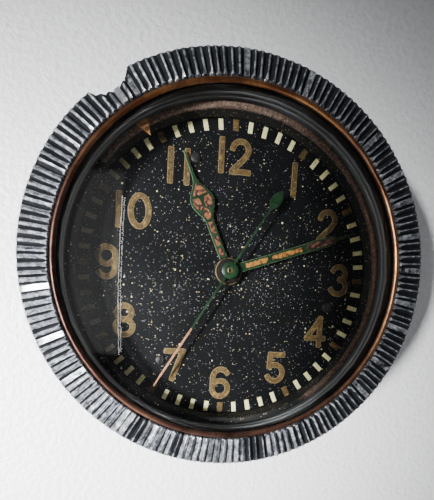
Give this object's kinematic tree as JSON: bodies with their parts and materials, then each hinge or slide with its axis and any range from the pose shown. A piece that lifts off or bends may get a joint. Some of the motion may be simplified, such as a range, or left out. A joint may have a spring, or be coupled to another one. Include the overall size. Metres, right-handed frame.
{
  "type": "marine deck clock",
  "caption": "Round deck clock with a fluted turning bezel, domed crystal, black dial, three green hands, and a screwed mounting flange behind.",
  "frame": {"origin": "centre of the flange's mounting face", "axes": "+Z leaves the dial towards the viewer, +Y points to 12 o'clock, +X to 3 o'clock"},
  "size_m": [0.074, 0.074, 0.0337],
  "materials": {
    "case_enamel": "black enamel, satin",
    "rubber": "matt",
    "steel": "turned",
    "brass": "fine brushed",
    "blued_steel": "blued and polished",
    "bezel_metal": "blackened, worn to bright metal on the flutes",
    "glass": "polished",
    "copper": "burnished red bronze",
    "ledge": "aged black with corrosion",
    "marker": "matt orange",
    "dial_paint": "speckled black",
    "hand_paint": "green with aged lume"
  },
  "bodies": {
    "case": {"case_body": "case_enamel", "back_cover": "case_enamel", "back_gasket": "rubber", "cover_screw_1": "steel", "cover_screw_2": "steel", "cover_screw_3": "steel", "main_plate": "brass", "train_bridge": "brass", "barrel_bridge": "brass", "balance_cock": "brass", "pallet_cock": "brass", "train_bridge_screw_1": "blued_steel", "train_bridge_screw_2": "blued_steel", "barrel_bridge_screw_1": "blued_steel", "barrel_bridge_screw_2": "blued_steel", "balance_cock_screw": "blued_steel", "pallet_cock_screw": "blued_steel", "movement_screw_1": "steel", "movement_screw_2": "steel", "movement_screw_3": "steel", "hairspring": "blued_steel", "regulator": "steel", "click_spring": "blued_steel", "dial": "dial_paint", "dial_screw_1": "steel", "dial_screw_2": "steel", "dial_screw_3": "steel", "button_spring": "steel", "retaining_ring": "steel"},
    "bezel": {"fluted_bezel": "bezel_metal", "crystal": "glass", "crystal_gasket": "rubber", "crystal_ring": "copper", "index_ring": "ledge", "index_triangle": "marker", "bezel_gear": "steel"},
    "winding_pinion": {"winding_pinion": "steel"},
    "barrel_arbor": {"barrel_arbor": "steel", "ratchet_wheel": "steel", "ratchet_screw": "blued_steel"},
    "minute_hand": {"cannon_pinion": "steel", "minute_hand": "hand_paint"},
    "hour_hand": {"hour_wheel": "brass", "hour_hand": "hand_paint"},
    "minute_wheel": {"minute_wheel": "brass"},
    "second_hand": {"fourth_wheel": "brass", "second_hand": "hand_paint"},
    "third_wheel": {"third_wheel": "brass"},
    "centre_wheel": {"centre_wheel": "brass"},
    "escape_wheel": {"escape_wheel": "steel"},
    "barrel": {"barrel": "brass", "barrel_cover": "brass", "mainspring": "blued_steel"},
    "pallet_fork": {"pallet_fork": "steel"},
    "balance": {"balance_wheel": "brass"},
    "click": {"click": "steel"},
    "set_button": {"set_button": "steel"},
    "setting_lever": {"setting_lever": "steel"}
  },
  "joints": [
    {"name": "bezel_turn", "type": "hinge", "parent": "case", "child": "bezel", "pos_m": [0, 0, 0.028], "axis": [0, 0, 1], "continuous": true},
    {"name": "winding_pinion_turn", "type": "hinge", "parent": "case", "child": "winding_pinion", "pos_m": [0.01247, 0.01596, 0.014], "axis": [0, 0, 1], "continuous": true},
    {"name": "barrel_arbor_turn", "type": "hinge", "parent": "case", "child": "barrel_arbor", "pos_m": [0.00227, 0.01127, 0.012], "axis": [0, 0, 1], "continuous": true},
    {"name": "minute_hand_turn", "type": "hinge", "parent": "case", "child": "minute_hand", "pos_m": [0, 0, 0.024], "axis": [0, 0, 1], "continuous": true},
    {"name": "hour_hand_turn", "type": "hinge", "parent": "case", "child": "hour_hand", "pos_m": [0, 0, 0.023], "axis": [0, 0, 1], "continuous": true},
    {"name": "minute_wheel_turn", "type": "hinge", "parent": "case", "child": "minute_wheel", "pos_m": [-0.00226, -0.0062, 0.021], "axis": [0, 0, 1], "continuous": true},
    {"name": "second_hand_turn", "type": "hinge", "parent": "case", "child": "second_hand", "pos_m": [0, 0, 0.016], "axis": [0, 0, 1], "continuous": true},
    {"name": "third_wheel_turn", "type": "hinge", "parent": "case", "child": "third_wheel", "pos_m": [0.01103, -0.00194, 0.012], "axis": [0, 0, 1], "continuous": true},
    {"name": "centre_wheel_turn", "type": "hinge", "parent": "case", "child": "centre_wheel", "pos_m": [0, 0, 0.014], "axis": [0, 0, 1], "continuous": true},
    {"name": "escape_wheel_turn", "type": "hinge", "parent": "case", "child": "escape_wheel", "pos_m": [-0.00376, -0.01034, 0.014], "axis": [0, 0, 1], "continuous": true},
    {"name": "barrel_turn", "type": "hinge", "parent": "case", "child": "barrel", "pos_m": [0.00227, 0.01127, 0.016], "axis": [0, 0, 1], "continuous": true},
    {"name": "pallet_swing", "type": "hinge", "parent": "case", "child": "pallet_fork", "pos_m": [-0.0081, -0.0119, 0.015], "axis": [0, 0, 1], "range_deg": [-6, 6]},
    {"name": "balance_swing", "type": "hinge", "parent": "case", "child": "balance", "pos_m": [-0.0142, -0.0108, 0.013], "axis": [0, 0, 1], "range_deg": [-270, 270], "stiffness_Nm_per_rad": 0.0000044},
    {"name": "click_rock", "type": "hinge", "parent": "case", "child": "click", "pos_m": [-0.0079, 0.0166, 0.0073], "axis": [0, 0, 1], "range_deg": [0, 8], "stiffness_Nm_per_rad": 0.001, "springref_deg": -2.86},
    {"name": "set_button_press", "type": "slide", "parent": "case", "child": "set_button", "axis": [-0.5, 0.866, 0], "range_m": [0, 0.0015], "stiffness_N_per_m": 200},
    {"name": "setting_lever_rock", "type": "hinge", "parent": "case", "child": "setting_lever", "pos_m": [0.01338, -0.01486, 0.0124], "axis": [0, 0, 1], "range_deg": [-20, 0]}
  ],
  "couplings": [
    {"joint": "winding_pinion_turn", "follows": "bezel_turn", "ratio": 4},
    {"joint": "barrel_arbor_turn", "follows": "bezel_turn", "ratio": -1.3333},
    {"joint": "hour_hand_turn", "follows": "minute_hand_turn", "ratio": 0.083333},
    {"joint": "minute_wheel_turn", "follows": "minute_hand_turn", "ratio": -0.33333},
    {"joint": "third_wheel_turn", "follows": "second_hand_turn", "ratio": -0.13333},
    {"joint": "centre_wheel_turn", "follows": "second_hand_turn", "ratio": 0.016667},
    {"joint": "escape_wheel_turn", "follows": "second_hand_turn", "ratio": -10},
    {"joint": "barrel_turn", "follows": "second_hand_turn", "ratio": -0.0027778},
    {"joint": "setting_lever_rock", "follows": "set_button_press", "rad_per_m": -215}
  ]
}
